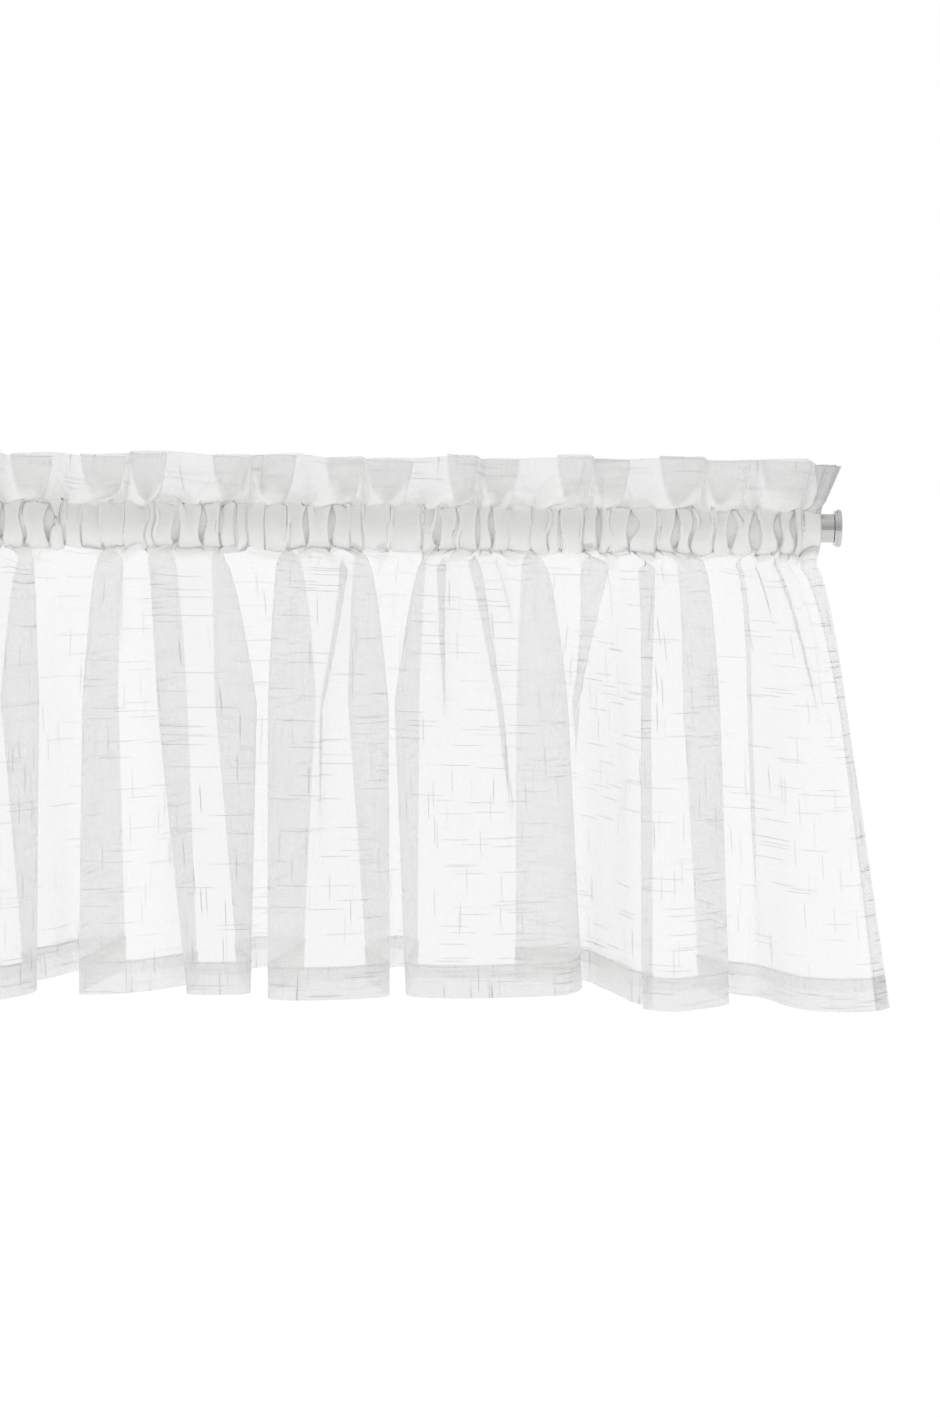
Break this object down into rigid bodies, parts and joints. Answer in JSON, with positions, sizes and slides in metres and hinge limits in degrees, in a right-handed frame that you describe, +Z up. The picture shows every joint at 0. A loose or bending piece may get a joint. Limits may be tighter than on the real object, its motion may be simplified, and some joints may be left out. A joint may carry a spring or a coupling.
{
  "type": "window valance on a curtain rod",
  "caption": "Short sheer cloth valance with a frilled heading, gathered by its rod pocket on a plain round metal rod with end caps.",
  "frame": {"origin": "on the rod's axis at the middle of its length", "axes": "+X along the rod to the right as seen from the front, -Y to the front, +Z up"},
  "size_m": [1.1591, 0.1503, 0.4765],
  "materials": {
    "sheer_cloth": "matte, sheer slub weave",
    "rod_metal": "satin"
  },
  "bodies": {
    "root": {"valance": "sheer_cloth", "rod": "rod_metal", "rod_cap_left": "rod_metal", "rod_cap_right": "rod_metal"}
  },
  "joints": []
}
